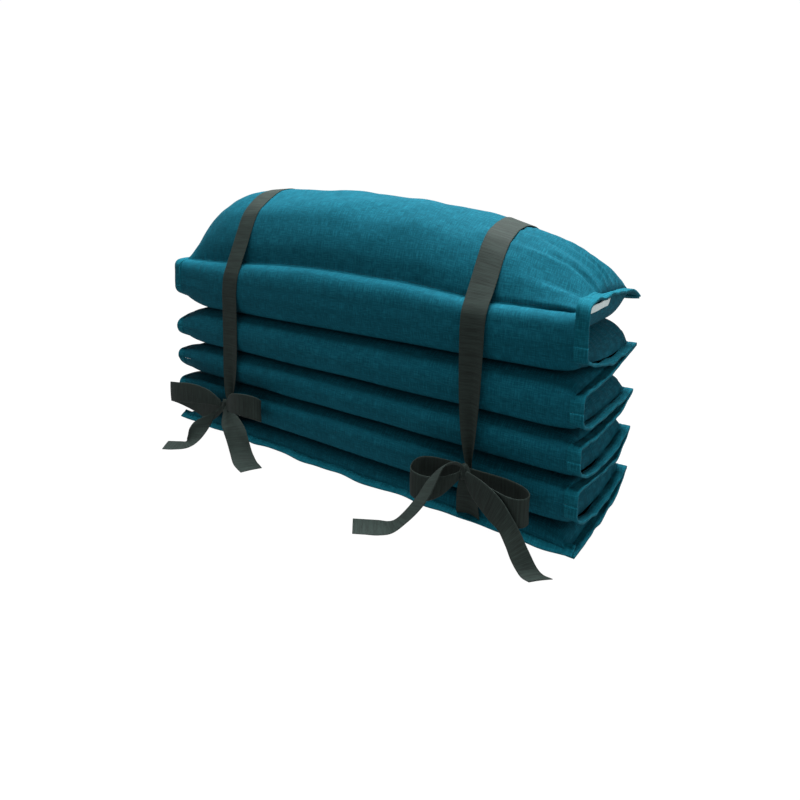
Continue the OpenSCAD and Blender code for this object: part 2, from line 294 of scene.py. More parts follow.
def strip(name: str, centre: np.ndarray, across: np.ndarray, half: np.ndarray,
          thick: float | np.ndarray, crease: np.ndarray | None = None, groove: float = 0.0,
          curl: float = 0.0) -> bpy.types.Object:
    """A flat band of cloth swept along a path, with both faces and its edges.

    At each step the band runs from -half to +half along the across direction.
    With w from -1 to +1 across it, its face is pushed out by crease times the
    size of w to the power 1.2, which folds it lengthwise into a V, and by curl
    times one less w squared, a low crown.

    Args:
        name: The piece's name.
        centre: The path, one row per ring.
        across: The direction across the band at each ring.
        half: Half of the band's width at each ring.
        thick: The cloth's thickness, the same all along or one value for each ring.
        crease: How far the edges stand forward at each ring.
        groove: How deep the stitch line is pressed in.
        curl: How high the middle of the band is crowned.

    Returns:
        The new object.
    """
    across = unit(across)
    normal = unit(np.cross(np.gradient(centre, axis=0), across))
    # Out along the face and back along the underside
    place = np.concatenate([BAND_PLACES, BAND_PLACES[-2:0:-1]])
    side = np.where(np.arange(len(place)) < len(BAND_PLACES), 1.0, -1.0)
    # The two edge points sit on the middle of the cloth, so that the rim is rounded
    side[np.abs(place) == 1] = 0
    pressed = np.exp(-(((place - STITCH_PLACE) / STITCH_SPREAD) ** 2)) * groove
    lift = np.zeros(len(centre)) if crease is None else crease
    half_thick = np.broadcast_to(thick, len(centre)) / 2
    rise = half_thick[:, None] * side - side * pressed + lift[:, None] * np.abs(place) ** 1.2
    rise = rise + curl * (1 - place**2)
    points = (centre[:, None] + across[:, None] * (half[:, None] * place)[..., None]
              + normal[:, None] * rise[..., None])
    # What lies on the floor doesn't sink into it
    points[..., 2] = np.maximum(points[..., 2], 0)
    return shell(name, points, across=np.concatenate([(place + 1) * half.max(), [0.0]]))


def stitches(name: str, path: np.ndarray, length: float, gap: float,
             radius: float) -> bpy.types.Object:
    """A row of thread stitches along a path.

    Each stitch is a six-sided bar of three rings, thickest in the middle.

    Args:
        name: The piece's name.
        path: The row's path.
        length: The length of one stitch.
        gap: The gap between stitches.
        radius: The thread's radius.

    Returns:
        The new object.
    """
    count = int(run_length(path) / (length + gap))
    at = (np.arange(count) + 0.5) / count
    index = np.linspace(0, 1, len(path))
    even = spaced(path, len(path))
    centre = read_off(at, index, even)
    slope = unit(read_off(at, index, np.gradient(even, axis=0)))
    # Any direction that isn't nearly the row's own will do to cross it with
    guide = np.where(np.abs(slope[:, :1]) > 0.9, [[0, 0, 1.0]], [[1.0, 0, 0]])
    side = unit(np.cross(slope, guide))
    other = np.cross(slope, side)
    j = np.arange(THREAD_SIDES)
    turn = j / THREAD_SIDES * TAU
    shift = np.array([-0.5, 0.0, 0.5]) * length
    swollen = np.array([0.45, 1.0, 0.45]) * radius
    ring = (side[:, None, None] * np.cos(turn)[None, None, :, None]
            + other[:, None, None] * np.sin(turn)[None, None, :, None])
    points = (centre[:, None, None] + slope[:, None, None] * shift[None, :, None, None]
              + ring * swollen[None, :, None, None])
    start = (np.arange(count) * len(shift) * THREAD_SIDES)[:, None, None, None]
    k = (j + 1) % THREAD_SIDES
    row = np.stack([j, k, THREAD_SIDES + k, THREAD_SIDES + j], axis=-1)
    quads = np.stack([row, row + THREAD_SIDES])[None] + start
    caps = np.stack([j[::-1], 2 * THREAD_SIDES + j])[None] + start[..., 0]
    mesh = bpy.data.meshes.new(name)
    mesh.from_pydata(points.reshape(-1, 3), [],
                     quads.reshape(-1, 4).tolist() + caps.reshape(-1, THREAD_SIDES).tolist())
    mesh.uv_layers.new(name="cloth")
    mesh.polygons.foreach_set("use_smooth", np.ones(len(mesh.polygons), bool))
    return linked(name, mesh)


# ---- Finishes ----


def linear(hex_colour: str) -> tuple[float, float, float, float]:
    """An sRGB hex colour as linear RGBA, by the sRGB transfer curve.

    Args:
        hex_colour: The colour, such as #0a4856.

    Returns:
        Linear red, green and blue, and full alpha.
    """
    parts = [int(hex_colour[i:i + 2], 16) / 255 for i in (1, 3, 5)]
    rgb = [c / 12.92 if c <= 0.04045 else ((c + 0.055) / 1.055) ** 2.4 for c in parts]
    return (*rgb, 1.0)


def blank_material(name: str) -> bpy.types.Material:
    """A new node material whose tree is empty.

    Args:
        name: The material's name.

    Returns:
        The new material.
    """
    made = bpy.data.materials.new(name)
    made.use_nodes = True
    made.node_tree.nodes.clear()
    return made


def set_stops(ramp: bpy.types.Node, *stops: tuple[float, str]) -> None:
    """Gives a colour ramp its stops.

    Args:
        ramp: The ramp's node, with its two first stops.
        stops: Each stop's place and sRGB hex colour, in rising order.
    """
    elements = ramp.color_ramp.elements
    for element, (place, colour) in zip(elements, (stops[0], stops[-1])):
        element.position, element.color = place, linear(colour)
    for place, colour in stops[1:-1]:
        elements.new(place).color = linear(colour)


def add(tree: bpy.types.NodeTree, kind: str, settings: dict | None = None,
        links: dict | None = None) -> bpy.types.Node:
    """Adds a shader node.

    Args:
        tree: The node tree.
        kind: The node's type name, without its ShaderNode prefix.
        settings: Attributes, or input defaults where the key names an input.
        links: Input names or numbers, each with the output socket it takes.

    Returns:
        The new node.
    """
    node = tree.nodes.new("ShaderNode" + kind)
    for key, value in (settings or {}).items():
        if isinstance(key, int) or key in node.inputs:
            node.inputs[key].default_value = value
        else:
            setattr(node, key, value)
    for key, socket in (links or {}).items():
        tree.links.new(socket, node.inputs[key])
    return node


@dataclass(frozen=True)
class Cotton:
    """Plain-weave slubbed cotton: matt, with paler flecks where the thread is thick."""

    name: str
    deep: str
    mid: str
    pale: str
    # The real threads are about 0.45 mm apart, too fine to show, so they are drawn coarser
    thread: float = 1.2 * MM
    slub_long: float = 14 * MM
    slub_wide: float = 0.9 * MM
    roughness: float = 0.9
    sheen: float = 0.02

    def material(self) -> bpy.types.Material:
        """The node material: woven threads, slubs both ways, and soft blotches.

        Returns:
            The new material.
        """
        made = blank_material(self.name)
        t = made.node_tree
        uv = add(t, "UVMap", {"uv_map": "cloth"})
        parts = add(t, "SeparateXYZ", links={0: uv.outputs[0]})
        wave = []
        for axis in (0, 1):
            turns = add(t, "Math", {"operation": "MULTIPLY", 1: TAU / self.thread},
                        {0: parts.outputs[axis]})
            wave.append(add(t, "Math", {"operation": "SINE"}, {0: turns.outputs[0]}))
        weave = add(t, "Math", {"operation": "MULTIPLY"},
                    {0: wave[0].outputs[0], 1: wave[1].outputs[0]})
        slubs = []
        for scale in ((1 / self.slub_long, 1 / self.slub_wide, 1),
                      (1 / self.slub_wide, 1 / self.slub_long, 1)):
            place = add(t, "Mapping", {"Scale": scale}, {0: uv.outputs[0]})
            slubs.append(add(t, "TexNoise", {"Scale": 1.0, "Detail": 2.0, "Roughness": 0.6},
                             {"Vector": place.outputs[0]}))
        slub = add(t, "Math", {"operation": "ADD"},
                   {0: slubs[0].outputs["Fac"], 1: slubs[1].outputs["Fac"]})
        spot = add(t, "TexCoord")
        blotch = add(t, "TexNoise", {"Scale": 14.0, "Detail": 3.0},
                     {"Vector": spot.outputs["Object"]})
        fleck = add(t, "MapRange", {"From Min": 0.72, "From Max": 1.28}, {0: slub.outputs[0]})
        tone = add(t, "Math", {"operation": "MULTIPLY_ADD", 1: 0.35},
                   {0: blotch.outputs["Fac"], 2: fleck.outputs[0]})
        tone = add(t, "Math", {"operation": "MULTIPLY_ADD", 1: 0.07},
                   {0: weave.outputs[0], 2: tone.outputs[0]})
        ramp = add(t, "ValToRGB", links={0: tone.outputs[0]})
        set_stops(ramp, (0.2, self.deep), (0.65, self.mid), (1.0, self.pale))
        height = add(t, "Math", {"operation": "MULTIPLY_ADD", 1: 0.4},
                     {0: weave.outputs[0], 2: slub.outputs[0]})
        bump = add(t, "Bump", {"Strength": 0.35, "Distance": 0.25 * MM},
                   {"Height": height.outputs[0]})
        surface = add(t, "BsdfPrincipled", {
            "Roughness": self.roughness, "Sheen Weight": self.sheen, "Sheen Roughness": 0.5,
            "Specular IOR Level": 0.05, "Sheen Tint": linear(self.pale)},
            {"Base Color": ramp.outputs[0], "Normal": bump.outputs[0]})
        add(t, "OutputMaterial", links={0: surface.outputs[0]})
        return made


@dataclass(frozen=True)
class RibbedTape:
    """Matt ribbed cotton tape: nearly black, with fine ribs and a slight grain."""

    name: str = "ribbed_tape"
    deep: str = "#121816"
    pale: str = "#202a27"
    # The real ribs are about 0.7 mm apart, too fine to show, so they are drawn coarser
    rib: float = 1.6 * MM

    def material(self) -> bpy.types.Material:
        """The node material: ribs across the tape, and a fine grain.

        Returns:
            The new material.
        """
        made = blank_material(self.name)
        t = made.node_tree
        uv = add(t, "UVMap", {"uv_map": "cloth"})
        parts = add(t, "SeparateXYZ", links={0: uv.outputs[0]})
        turns = add(t, "Math", {"operation": "MULTIPLY", 1: TAU / self.rib}, {0: parts.outputs[0]})
        ribs = add(t, "Math", {"operation": "SINE"}, {0: turns.outputs[0]})
        place = add(t, "Mapping", {"Scale": (1 / (2 * MM), 1 / (30 * MM), 1)}, {0: uv.outputs[0]})
        grain = add(t, "TexNoise", {"Scale": 1.0, "Detail": 3.0}, {"Vector": place.outputs[0]})
        tone = add(t, "Math", {"operation": "MULTIPLY_ADD", 1: 0.07},
                   {0: ribs.outputs[0], 2: grain.outputs["Fac"]})
        ramp = add(t, "ValToRGB", links={0: tone.outputs[0]})
        set_stops(ramp, (0.25, self.deep), (0.75, self.pale))
        bump = add(t, "Bump", {"Strength": 0.5, "Distance": 0.3 * MM}, {"Height": tone.outputs[0]})
        surface = add(t, "BsdfPrincipled", {
            "Roughness": 0.8, "Sheen Weight": 0.06, "Sheen Roughness": 0.45,
            "Specular IOR Level": 0.12, "Sheen Tint": linear(self.pale)},
            {"Base Color": ramp.outputs[0], "Normal": bump.outputs[0]})
        add(t, "OutputMaterial", links={0: surface.outputs[0]})
        return made


@dataclass(frozen=True)
class PlainFinish:
    """A spun or woven finish with one colour and a fine grain."""

    name: str
    colour: str
    grain: str
    size: float
    roughness: float = 0.6

    def material(self) -> bpy.types.Material:
        """The node material: two close colours mixed by a noise of the grain's size.

        Returns:
            The new material.
        """
        made = blank_material(self.name)
        t = made.node_tree
        spot = add(t, "TexCoord")
        noise = add(t, "TexNoise", {"Scale": 1 / self.size, "Detail": 2.0},
                    {"Vector": spot.outputs["Object"]})
        ramp = add(t, "ValToRGB", links={0: noise.outputs["Fac"]})
        set_stops(ramp, (0.35, self.grain), (0.65, self.colour))
        bump = add(t, "Bump", {"Strength": 0.3, "Distance": 0.1 * MM},
                   {"Height": noise.outputs["Fac"]})
        surface = add(t, "BsdfPrincipled", {"Roughness": self.roughness, "Specular IOR Level": 0.1},
                      {"Base Color": ramp.outputs[0], "Normal": bump.outputs[0]})
        add(t, "OutputMaterial", links={0: surface.outputs[0]})
        return made


class Finish(Enum):
    """The record's material slots, each with its finish."""

    COVER = "cover_cloth"
    HEM = "hem_cloth"
    THREAD = "thread"
    RIBBON = "ribbon"
    LABEL = "label"


FINISHES = {
    Finish.COVER: Cotton("teal_slubbed_cotton", "#01333e", "#033a47", "#0a4856"),
    Finish.HEM: Cotton("teal_cotton_hem", "#013541", "#03404c", "#0e4f5d"),
    Finish.THREAD: PlainFinish("teal_sewing_thread", "#03323d", "#022831", 0.5 * MM),
    Finish.RIBBON: RibbedTape(),
    Finish.LABEL: PlainFinish("white_satin_tape", "#a9b6b6", "#94a2a2", 0.8 * MM, 0.45),
}


@cache
def cloth_of(finish: Finish) -> bpy.types.Material:
    """A finish's material, made when it's first asked for."""
    return FINISHES[finish].material()


def dress(piece: bpy.types.Object, finish: Finish, body: str, *nodes: str) -> bpy.types.Object:
    """Gives a piece its finish, its body and the nodes it stands for.

    Args:
        piece: The piece.
        finish: Its finish, which is also its slot.
        body: The body it rides on.
        nodes: The CAD nodes it replaces.

    Returns:
        The piece.
    """
    piece.data.materials.append(cloth_of(finish))
    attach(piece, body)
    if nodes:
        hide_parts(*nodes)
    log.info("%s: %d faces on %s", piece.name, len(piece.data.polygons), body)
    return piece


# ---- Pads ----

SIDE_HEM = 14 * MM
HEM_THICK = 3 * MM
# Two hems lie flat on one another at a back fold, so each is thinner there
BACK_THICK = 1.7 * MM
BACK_REACH = 12 * MM
# The slope that a hem's waves give its outer edge
HEM_WAVE = 0.22
HEM_RINGS = 90
# Half the thickness of a cover's end where it's pressed flat in the hem
FLAT_HALF = 0.7 * MM
HALF_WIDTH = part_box("panel_1_side_hems")[1][0]
# The covers' ends run this far into the side hems
TIP_IN_HEM = 4 * MM
COVER_END = HALF_WIDTH - SIDE_HEM + TIP_IN_HEM
HALF_DEPTH = frame["joints"][0]["pos_m"][1]
LEVELS = [0.0] + [j["pos_m"][2] for j in frame["joints"]]
STACK_GAP = 0.02 * MM
# Covers and hems stop just short of the fold's plane, so that the open pads don't clip
COVER_EDGE = HALF_DEPTH - 0.05 * MM
HEM_EDGE = HALF_DEPTH - HEM_THICK / 2 - 0.2 * MM
# The share of a side hem's route that its leg at the front fold takes up
LEG_SHARE = 0.06
# Lumps draw a folded face in by about this much, fading out towards the fold line
LUMP = 0.8 * MM
FOLD_REACH = 12 * MM
# A pad's side hems: heights in mm over the pad's underside at each place in HEM_Y.
# Past its filling a hem sags, so that some heights are below nought.
HEM_Y = (-0.070, -0.030, 0.010, 0.050)
HEM_SAG = {1: (5, 5, 5, 8), 2: (2, -8, -8, -7), 3: (12, 6, 2, -2), 4: (-2, -9, -9, -9),
           5: (12, 9, 9, 11), 6: (3, 0, 0, -3), 7: (17, 18, 21, 26), 8: (11, 1, -3, -2)}
# Height in mm of the leg's corner at the front fold, at the left and the right end
HEM_FRONT = {1: (6, 6), 2: (20, 16), 3: (9, 16), 4: (18, 13), 5: (11, 16), 6: (16, 13),
             7: (7, 16), 8: (24, 18)}


def drawn_in(noise: np.ndarray, off_fold: np.ndarray) -> np.ndarray:
    """How far lumps draw a folded face in.

    Only inwards, and not at all on the fold line, so that the open pads butt cleanly.

    Args:
        noise: The lumps' noise at each place.
        off_fold: The distance from the fold line.

    Returns:
        The positive noise times its full depth, faded out towards the fold line.
    """
    return np.maximum(noise, 0) * LUMP * np.clip(off_fold / FOLD_REACH, 0, 1) ** 1.5


def stations(count: int) -> np.ndarray:
    """Places along the width, closer together towards both ends (a sine spacing)."""
    turn = 0.93 * math.pi / 2
    return COVER_END * np.sin(np.linspace(-turn, turn, count)) / math.sin(turn)


@dataclass
class SewnPad:
    """A stuffed cover with flat side hems: what the flat pads and the pillow share."""

    body: str
    hem_radius: float = 8 * MM
    half_points: int = 84
    rings: int = 181

    def route(self, sign: float) -> np.ndarray:
        """One side hem's route.

        Args:
            sign: -1 for the left end and +1 for the right.

        Returns:
            The route's (y, z) points.
        """
        raise NotImplementedError

    def soft_route(self, sign: float) -> np.ndarray:
        """The hem's route with its bends rounded."""
        return softened(self.route(sign), self.hem_radius)

    def halves(self) -> tuple[np.ndarray, np.ndarray, np.ndarray, np.ndarray]:
        """Under and upper outlines at the middle, each with its shares of the route.

        Returns:
            The under and the upper (y, z) points, then each half's shares of the route.
        """
        raise NotImplementedError

    def fill(self, x: np.ndarray, under: np.ndarray) -> np.ndarray:
        """How far the cover is filled.

        Args:
            x: Each ring's place along the width.
            under: Which points are on the underside.

        Returns:
            The share filled, rings by points.
        """
        raise NotImplementedError

    def under_side(self) -> float:
        """The sign of the route's normal that points to the under face."""
        return -1.0

    def shaped(self, points: np.ndarray) -> np.ndarray:
        """Adds lumps and puckers to rings of points.

        Args:
            points: Rings by points by 3.

        Returns:
            The same array, changed.
        """
        raise NotImplementedError

    def flat_outline(self, shares: np.ndarray, side: float, sign: float) -> np.ndarray:
        """The pressed-flat end's outline: the route moved by half the end's thickness.

        Args:
            shares: The share of the route at each point.
            side: The sign of the route's normal that points to this face.
            sign: -1 for the left end and +1 for the right.

        Returns:
            The outline's (y, z) points.
        """
        route = self.soft_route(sign)
        slope = unit(np.gradient(route, axis=0))
        normal = np.stack([-slope[:, 1], slope[:, 0]], axis=1)
        edge = route + normal * side * FLAT_HALF
        return read_off(shares, np.linspace(0, 1, len(route)), edge)

    def surface(self, x: np.ndarray) -> np.ndarray:
        """The cover's rings: the flat end's outline, swollen to the full outline.

        A point is the flat outline's point plus its fill times the step to the
        full outline's point.

        Args:
            x: Each ring's place along the width.

        Returns:
            An array of rings by points by 3.
        """
        under, upper, under_share, upper_share = self.halves()
        # The under half runs from fold to far end and the upper half runs back
        full = np.concatenate([under, upper[-2:0:-1]])
        lower = self.under_side()
        left, right = (np.concatenate([self.flat_outline(under_share, lower, sign),
                                       self.flat_outline(upper_share, -lower, sign)[-2:0:-1]])
                       for sign in (-1, 1))
        lean = np.clip(0.5 + x / COVER_END, 0, 1)[:, None, None]
        flat = left[None] * (1 - lean) + right[None] * lean
        fill = self.fill(x, np.arange(len(full)) < len(under))
        yz = flat + (full[None] - flat) * fill[..., None]
        grid_x = np.broadcast_to(x[:, None], yz.shape[:2])
        return self.shaped(np.concatenate([grid_x[..., None], yz], axis=-1))

    def build_cover(self, *nodes: str) -> None:
        """The stuffed cover, which stands for the named CAD nodes."""
        x = stations(self.rings)
        piece = shell(f"{self.body}_pad", self.surface(x), along=x + HALF_WIDTH)
        dress(piece, Finish.COVER, self.body, *nodes)

    def build_hems(self, node: str, seed: int) -> None:
        """The topstitched hems at both ends, wavy along their outer edges.

        Args:
            node: The CAD node they replace, which the left one stands for.
            seed: Chooses the waves.
        """
        for sign, word in ((-1, "left"), (1, "right")):
            route = spaced(self.soft_route(sign), HEM_RINGS)
            centre = np.insert(route, 0, sign * (HALF_WIDTH - SIDE_HEM / 2), axis=1)
            along = np.linspace(0, 0.2, len(route))
            calm = np.sin(np.linspace(0, math.pi, len(route))) ** 0.5
            # The outer edge lifts and dips, so the across direction leans with the wave
            lean = HEM_WAVE * ripple(along, 0, 45 * MM, seed + sign) * calm
            slope = unit(np.gradient(route, axis=0))
            across = np.stack([np.full(len(route), float(sign)), -slope[:, 1] * lean,
                               slope[:, 0] * lean], axis=1)
            half = SIDE_HEM / 2 + 0.5 * MM * ripple(along, 1, 30 * MM, seed + 9) * calm
            off_back = np.clip((HALF_DEPTH - route[:, 0]) / BACK_REACH, 0, 1)
            thick = BACK_THICK + (HEM_THICK - BACK_THICK) * off_back
            piece = strip(f"{self.body}_{word}_hem", centre, across, half, thick,
                          groove=0.45 * MM)
            dress(piece, Finish.HEM, self.body, *([node] if sign < 0 else []))


@dataclass
class FlatPad(SewnPad):
    """One of the eight flat pads."""

    index: int = 1
    round_y: float = 26 * MM
    taper: float = 44 * MM
    power: float = 2.5
    corner_points: int = 34
    toe_points: int = 10

    @property
    def low(self) -> float:
        """Height of its underside."""
        return LEVELS[self.index - 1] + STACK_GAP

    @property
    def high(self) -> float:
        """Height of its top."""
        return LEVELS[self.index] - STACK_GAP

    @property
    def turned(self) -> float:
        """+1 where its upper fold is at the back, -1 where it is at the front."""
        return 1.0 if self.index % 2 else -1.0

    @property
    def free_front(self) -> bool:
        """The lowest pad's front edge is the mattress's free end."""
        return self.index == 1

    def under_side(self) -> float:
        """The route runs the other way on a pad whose lower fold is at the back."""
        return -self.turned

    def route(self, sign: float) -> np.ndarray:
        """From fold to fold: a leg at the front fold, a sag, and flat into the back fold.

        Args:
            sign: -1 for the left end and +1 for the right.

        Returns:
            The route's (y, z) points.
        """
        front = HEM_FRONT[self.index][1 if sign > 0 else 0]
        heights = self.low + np.array([front, *HEM_SAG[self.index]]) * MM
        path = np.stack([(-HEM_EDGE, *HEM_Y), heights], axis=1)
        if self.turned > 0:
            leg = [] if self.free_front else [(-HEM_EDGE, self.low)]
            return np.array([*leg, *path, (HEM_EDGE, self.high - BACK_THICK / 2)])
        return np.array([(HEM_EDGE, self.low + BACK_THICK / 2), *path[::-1],
                         (-HEM_EDGE, self.high)])

    def halves(self) -> tuple[np.ndarray, np.ndarray, np.ndarray, np.ndarray]:
        """Flat faces, with a full-height superellipse on the corner beside each fold.

        Worked out as if the lower fold were at the front, then turned round.

        Returns:
            The under and the upper (y, z) points, then each half's shares of the route.
        """
        edge, corner = COVER_EDGE, self.corner_points
        start = (-edge + 5 * MM, 14 * MM) if self.free_front else (-edge, self.low)
        far = (edge, self.high)
        flat_count = self.half_points - corner
        front = rounded_corner(start, (-edge + self.round_y, self.high), self.power, corner)
        top = np.linspace(front[-1], far, flat_count + 1)[1:]
        upper = np.concatenate([front, top])
        back = rounded_corner(far, (edge - self.round_y, self.low), self.power, corner)[::-1]
        if self.free_front:
            toe = rounded_corner(start, (start[0] + 12 * MM, self.low), 2, self.toe_points)
            rest = np.linspace(toe[-1], back[0], flat_count - self.toe_points + 1)[1:]
            flat = np.concatenate([toe, rest])
        else:
            flat = np.linspace(start, back[0], flat_count, endpoint=False)
        under = np.concatenate([flat, back])
        mirrored = np.array([self.turned, 1.0])
        route = self.soft_route(1) * mirrored
        share = np.linspace(0, 1, len(route))

        def share_at(y: float) -> float:
            """The route's share at which it has come as far back as y."""
            return float(share[np.argmin(np.abs(route[:, 0] - y) + (share < LEG_SHARE))])

        leg = 0.0 if self.free_front else LEG_SHARE
        ends = share_at(edge - self.round_y)
        begins = share_at(-edge + self.round_y)
        u = np.linspace(0, 1, self.half_points)
        mark = flat_count / self.half_points
        under_share = np.interp(u, [0, 0.05, mark, 1], [0, leg + 0.02, ends, 1])
        mark = corner / self.half_points
        upper_share = np.interp(u, [0, mark * 0.55, mark, 1], [0, leg, begins, 1])
        return under * mirrored, upper * mirrored, under_share, upper_share

    def fill(self, x: np.ndarray, under: np.ndarray) -> np.ndarray:
        """A superellipse rise over the taper from each end, a wedge at the left.

        Args:
            x: Each ring's place along the width.
            under: Which points are on the underside.

        Returns:
            The share filled, rings by points.
        """
        rise = np.where(x < 0, swell(x + COVER_END, 1.3 * self.taper, 1.6),
                        swell(COVER_END - x, self.taper, 2.3))
        return np.repeat(rise[:, None], len(under), axis=1)

    def shaped(self, points: np.ndarray) -> np.ndarray:
        """Soft lumps along the folded faces, and puckers beside the side hems.

        Each is a sum of sine waves times a fade with the distance from the fold or the hem.

        Args:
            points: Rings by points by 3.

        Returns:
            The same array, changed.
        """
        x, y, z = points[..., 0], points[..., 1], points[..., 2]
        near = np.exp(-(((HALF_DEPTH - np.abs(y)) / FOLD_REACH) ** 2))
        inward = swell(COVER_END - np.abs(x), 40 * MM)
        # The two pads that share a fold share its lumps, by the fold's own seed
        front, back = self.index // 2, 20 + (self.index + 1) // 2
        lump = np.where(y < 0, ripple(x, z * 1.2, 90 * MM, 40 + front),
                        ripple(x, z * 1.2, 90 * MM, 40 + back))
        fine = np.where(y < 0, ripple(x, z, 26 * MM, 70 + front),
                        ripple(x, z, 26 * MM, 70 + back))
        fold_z = np.where(y * self.turned < 0, self.low, self.high)
        amount = drawn_in(0.5 + 0.8 * lump + 0.15 * fine, np.abs(z - fold_z))
        points[..., 1] = y - np.sign(y) * near * inward * amount
        # From -1/2 at the pad's underside to +1/2 at its top
        off = (z - (self.low + self.high) / 2) / (self.high - self.low)
        pucker = np.sin(TAU * y / (17 * MM) + 2 * ripple(y, 0, 60 * MM, self.index))
        distance = COVER_END - np.abs(x)
        depth = np.exp(-distance / (14 * MM)) * swell(distance, 8 * MM) * 0.8 * MM
        # Two pads that lie on one another share the waves between them; the floor has none
        under, over = (ripple(x, 0, 130 * MM, 90 + k) if k else np.zeros_like(x)
                       for k in (self.index - 1, self.index))
        level = np.where(off > 0, over, under) * 3.0 * MM * inward * near * (1 - near)
        level = level * np.clip(np.abs(off) * 2, 0, 1) ** 2
        points[..., 2] = np.maximum(z + np.sign(off) * pucker * depth + level, 0)
        return points


